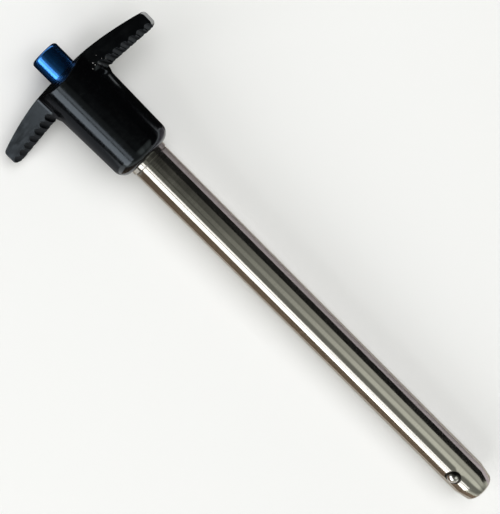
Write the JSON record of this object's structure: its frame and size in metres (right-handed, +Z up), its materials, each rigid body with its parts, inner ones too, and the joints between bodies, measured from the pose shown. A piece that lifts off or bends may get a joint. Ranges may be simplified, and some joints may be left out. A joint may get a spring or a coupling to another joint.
{
  "type": "ball lock pin",
  "caption": "T-handle ball lock pin: steel shank with a tapered nose and locking balls let in by a push button, black moulded handle.",
  "frame": {"origin": "centre of the collar's face, where the grip starts, on the pin's axis", "axes": "+X towards the nose along the floor, +Z up; the pin lies on its side, its nose 1.5 degrees low and one wing tip down"},
  "size_m": [0.1988, 0.0606, 0.0222],
  "materials": {
    "handle_plastic": "satin black moulding",
    "stainless": "ground stainless steel",
    "blue_anodised": "blue anodised aluminium",
    "ball_steel": "polished steel",
    "spring_steel": "drawn spring wire"
  },
  "bodies": {
    "body": {"t_handle": "handle_plastic", "shank": "stainless", "spring": "spring_steel"},
    "plunger": {"release_button": "blue_anodised", "spindle": "stainless"},
    "ball_1": {"locking_ball_1": "ball_steel"},
    "ball_2": {"locking_ball_2": "ball_steel"}
  },
  "joints": [
    {"name": "button_press", "type": "slide", "parent": "body", "child": "plunger", "axis": [0.9996, 0, -0.0265], "range_m": [0, 0.003], "stiffness_N_per_m": 1200, "springref_m": -0.003, "deforming": ["spring"]},
    {"name": "ball_1_slide", "type": "slide", "parent": "body", "child": "ball_1", "axis": [-0.0214, 0.5928, -0.8051], "range_m": [0, 0.00137]},
    {"name": "ball_2_slide", "type": "slide", "parent": "body", "child": "ball_2", "axis": [0.0214, -0.5928, 0.8051], "range_m": [0, 0.00137]}
  ],
  "couplings": [
    {"joint": "ball_1_slide", "follows": "button_press", "ratio": 0.45},
    {"joint": "ball_2_slide", "follows": "button_press", "ratio": 0.45}
  ]
}
